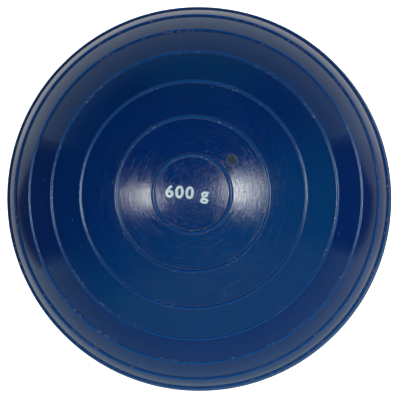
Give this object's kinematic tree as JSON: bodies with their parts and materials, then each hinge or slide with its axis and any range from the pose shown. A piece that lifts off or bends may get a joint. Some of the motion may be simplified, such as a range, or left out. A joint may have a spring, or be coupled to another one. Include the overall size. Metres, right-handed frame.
{
  "type": "javelin training ball",
  "caption": "Hollow ribbed plastic ball weighted with sand, for overarm throwing practice; two half shells with a filler neck and plug.",
  "frame": {"origin": "centre of the ball, on the seam plane", "axes": "+Z along the axis of the grip ribs, out of the pole that carries the weight mark; the filler plug is at the -Z pole; the mark reads upright with +Y up"},
  "size_m": [0.0954, 0.0954, 0.095],
  "materials": {
    "shell_vinyl": "satin",
    "weld_vinyl": "satin",
    "plug_vinyl": "satin",
    "dry_sand": "matte"
  },
  "bodies": {
    "root": {"marked_shell": "shell_vinyl", "filler_shell": "shell_vinyl", "seam_bead": "weld_vinyl", "filler_plug": "plug_vinyl", "sand_fill": "dry_sand"}
  },
  "joints": []
}
